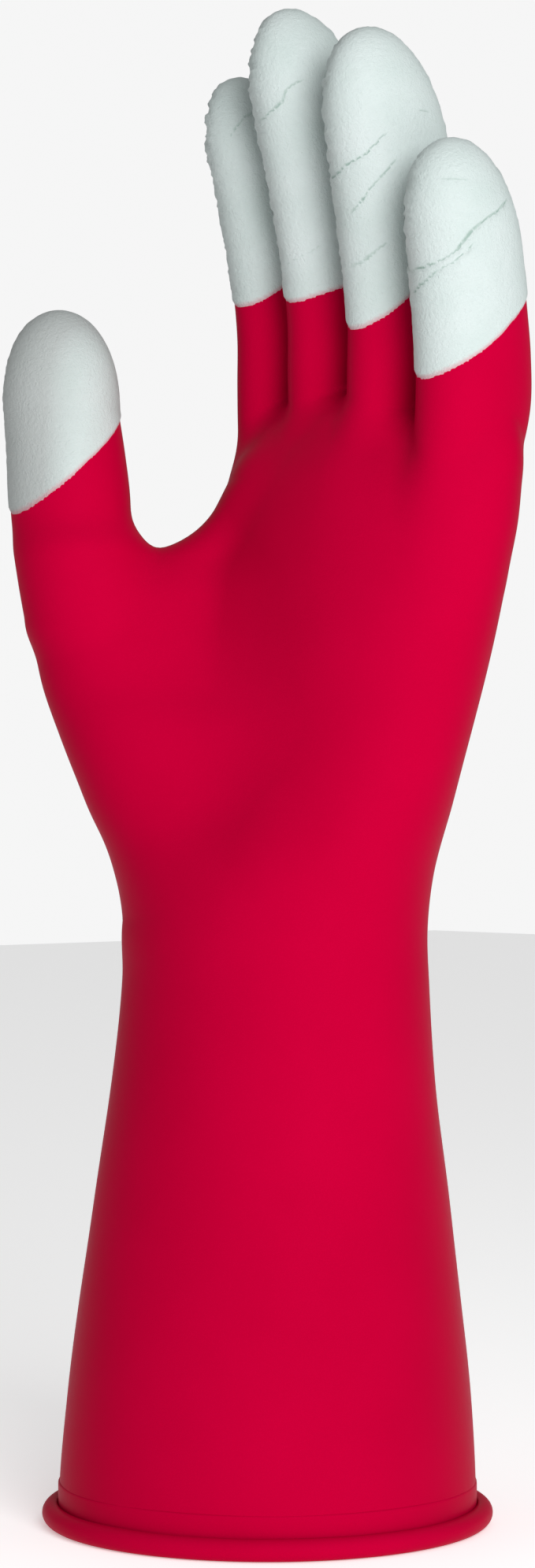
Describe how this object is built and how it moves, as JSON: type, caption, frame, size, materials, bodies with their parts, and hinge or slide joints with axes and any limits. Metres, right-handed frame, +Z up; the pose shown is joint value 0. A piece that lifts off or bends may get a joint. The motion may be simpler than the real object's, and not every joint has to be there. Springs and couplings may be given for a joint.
{
  "type": "electrical insulating glove",
  "caption": "Long dipped rubber insulating glove, standing on its rolled cuff, with a flared sleeve, curved fingers and a rough grip coat on each finger end.",
  "frame": {"origin": "centre of the cuff opening, on the surface that the glove stands on", "axes": "+Z up the glove to the fingertips, palm facing -Y, thumb on the -X side and little finger on the +X side"},
  "size_m": [0.1369, 0.1186, 0.399],
  "materials": {
    "red_rubber": "satin dipped natural rubber",
    "lining_rubber": "matte inner ply of natural rubber",
    "grip_coat": "matt wrinkled latex grip coat"
  },
  "bodies": {
    "gauntlet": {"cuff_bead": "red_rubber", "cuff_band": "red_rubber", "sleeve_outer": "red_rubber", "sleeve_inner": "lining_rubber", "wrist_flex": "red_rubber"},
    "hand": {"palm_outer": "red_rubber", "palm_inner": "lining_rubber", "thumb_root_flex": "red_rubber", "index_root_flex": "red_rubber", "middle_root_flex": "red_rubber", "ring_root_flex": "red_rubber", "pinky_root_flex": "red_rubber"},
    "thumb_base": {"thumb_lower": "red_rubber", "thumb_lower_lining": "lining_rubber", "thumb_coat_edge": "grip_coat", "thumb_bend_flex": "red_rubber"},
    "thumb_tip": {"thumb_upper": "red_rubber", "thumb_upper_lining": "lining_rubber", "thumb_coat": "grip_coat"},
    "index_base": {"index_lower": "red_rubber", "index_lower_lining": "lining_rubber", "index_coat_edge": "grip_coat", "index_bend_flex": "red_rubber"},
    "index_tip": {"index_upper": "red_rubber", "index_upper_lining": "lining_rubber", "index_coat": "grip_coat"},
    "middle_base": {"middle_lower": "red_rubber", "middle_lower_lining": "lining_rubber", "middle_coat_edge": "grip_coat", "middle_bend_flex": "red_rubber"},
    "middle_tip": {"middle_upper": "red_rubber", "middle_upper_lining": "lining_rubber", "middle_coat": "grip_coat"},
    "ring_base": {"ring_lower": "red_rubber", "ring_lower_lining": "lining_rubber", "ring_coat_edge": "grip_coat", "ring_bend_flex": "red_rubber"},
    "ring_tip": {"ring_upper": "red_rubber", "ring_upper_lining": "lining_rubber", "ring_coat": "grip_coat"},
    "pinky_base": {"pinky_lower": "red_rubber", "pinky_lower_lining": "lining_rubber", "pinky_coat_edge": "grip_coat", "pinky_bend_flex": "red_rubber"},
    "pinky_tip": {"pinky_upper": "red_rubber", "pinky_upper_lining": "lining_rubber", "pinky_coat": "grip_coat"}
  },
  "joints": [
    {"name": "wrist_bend", "type": "hinge", "parent": "gauntlet", "child": "hand", "pos_m": [0.002, 0.001, 0.156], "axis": [1, 0, 0], "range_deg": [-30, 30], "stiffness_Nm_per_rad": 6, "deforming": ["wrist_flex"]},
    {"name": "thumb_root_bend", "type": "hinge", "parent": "hand", "child": "thumb_base", "pos_m": [-0.04593, -0.02821, 0.27], "axis": [0, -1, 0], "range_deg": [-22, 12], "stiffness_Nm_per_rad": 0.6, "deforming": ["thumb_root_flex"]},
    {"name": "thumb_middle_bend", "type": "hinge", "parent": "thumb_base", "child": "thumb_tip", "pos_m": [-0.04774, -0.02912, 0.294], "axis": [0, -1, 0], "range_deg": [-22, 12], "stiffness_Nm_per_rad": 0.4, "deforming": ["thumb_bend_flex"]},
    {"name": "index_root_bend", "type": "hinge", "parent": "hand", "child": "index_base", "pos_m": [-0.0194, 0.02365, 0.314], "axis": [1, 0, 0], "range_deg": [-10, 45], "stiffness_Nm_per_rad": 0.6, "deforming": ["index_root_flex"]},
    {"name": "index_middle_bend", "type": "hinge", "parent": "index_base", "child": "index_tip", "pos_m": [-0.02128, 0.021, 0.341], "axis": [1, 0, 0], "range_deg": [-10, 50], "stiffness_Nm_per_rad": 0.4, "deforming": ["index_bend_flex"]},
    {"name": "middle_root_bend", "type": "hinge", "parent": "hand", "child": "middle_base", "pos_m": [0.00487, 0.02258, 0.314], "axis": [1, 0, 0], "range_deg": [-10, 45], "stiffness_Nm_per_rad": 0.6, "deforming": ["middle_root_flex"]},
    {"name": "middle_middle_bend", "type": "hinge", "parent": "middle_base", "child": "middle_tip", "pos_m": [0.0044, 0.01941, 0.343], "axis": [1, 0, 0], "range_deg": [-10, 50], "stiffness_Nm_per_rad": 0.4, "deforming": ["middle_bend_flex"]},
    {"name": "ring_root_bend", "type": "hinge", "parent": "hand", "child": "ring_base", "pos_m": [0.03069, 0.0209, 0.314], "axis": [1, 0, 0], "range_deg": [-10, 45], "stiffness_Nm_per_rad": 0.6, "deforming": ["ring_root_flex"]},
    {"name": "ring_middle_bend", "type": "hinge", "parent": "ring_base", "child": "ring_tip", "pos_m": [0.03133, 0.01729, 0.342], "axis": [1, 0, 0], "range_deg": [-10, 50], "stiffness_Nm_per_rad": 0.4, "deforming": ["ring_bend_flex"]},
    {"name": "pinky_root_bend", "type": "hinge", "parent": "hand", "child": "pinky_base", "pos_m": [0.05703, 0.0188, 0.304], "axis": [1, 0, 0], "range_deg": [-10, 45], "stiffness_Nm_per_rad": 0.6, "deforming": ["pinky_root_flex"]},
    {"name": "pinky_middle_bend", "type": "hinge", "parent": "pinky_base", "child": "pinky_tip", "pos_m": [0.05867, 0.01508, 0.329], "axis": [1, 0, 0], "range_deg": [-10, 50], "stiffness_Nm_per_rad": 0.4, "deforming": ["pinky_bend_flex"]}
  ]
}
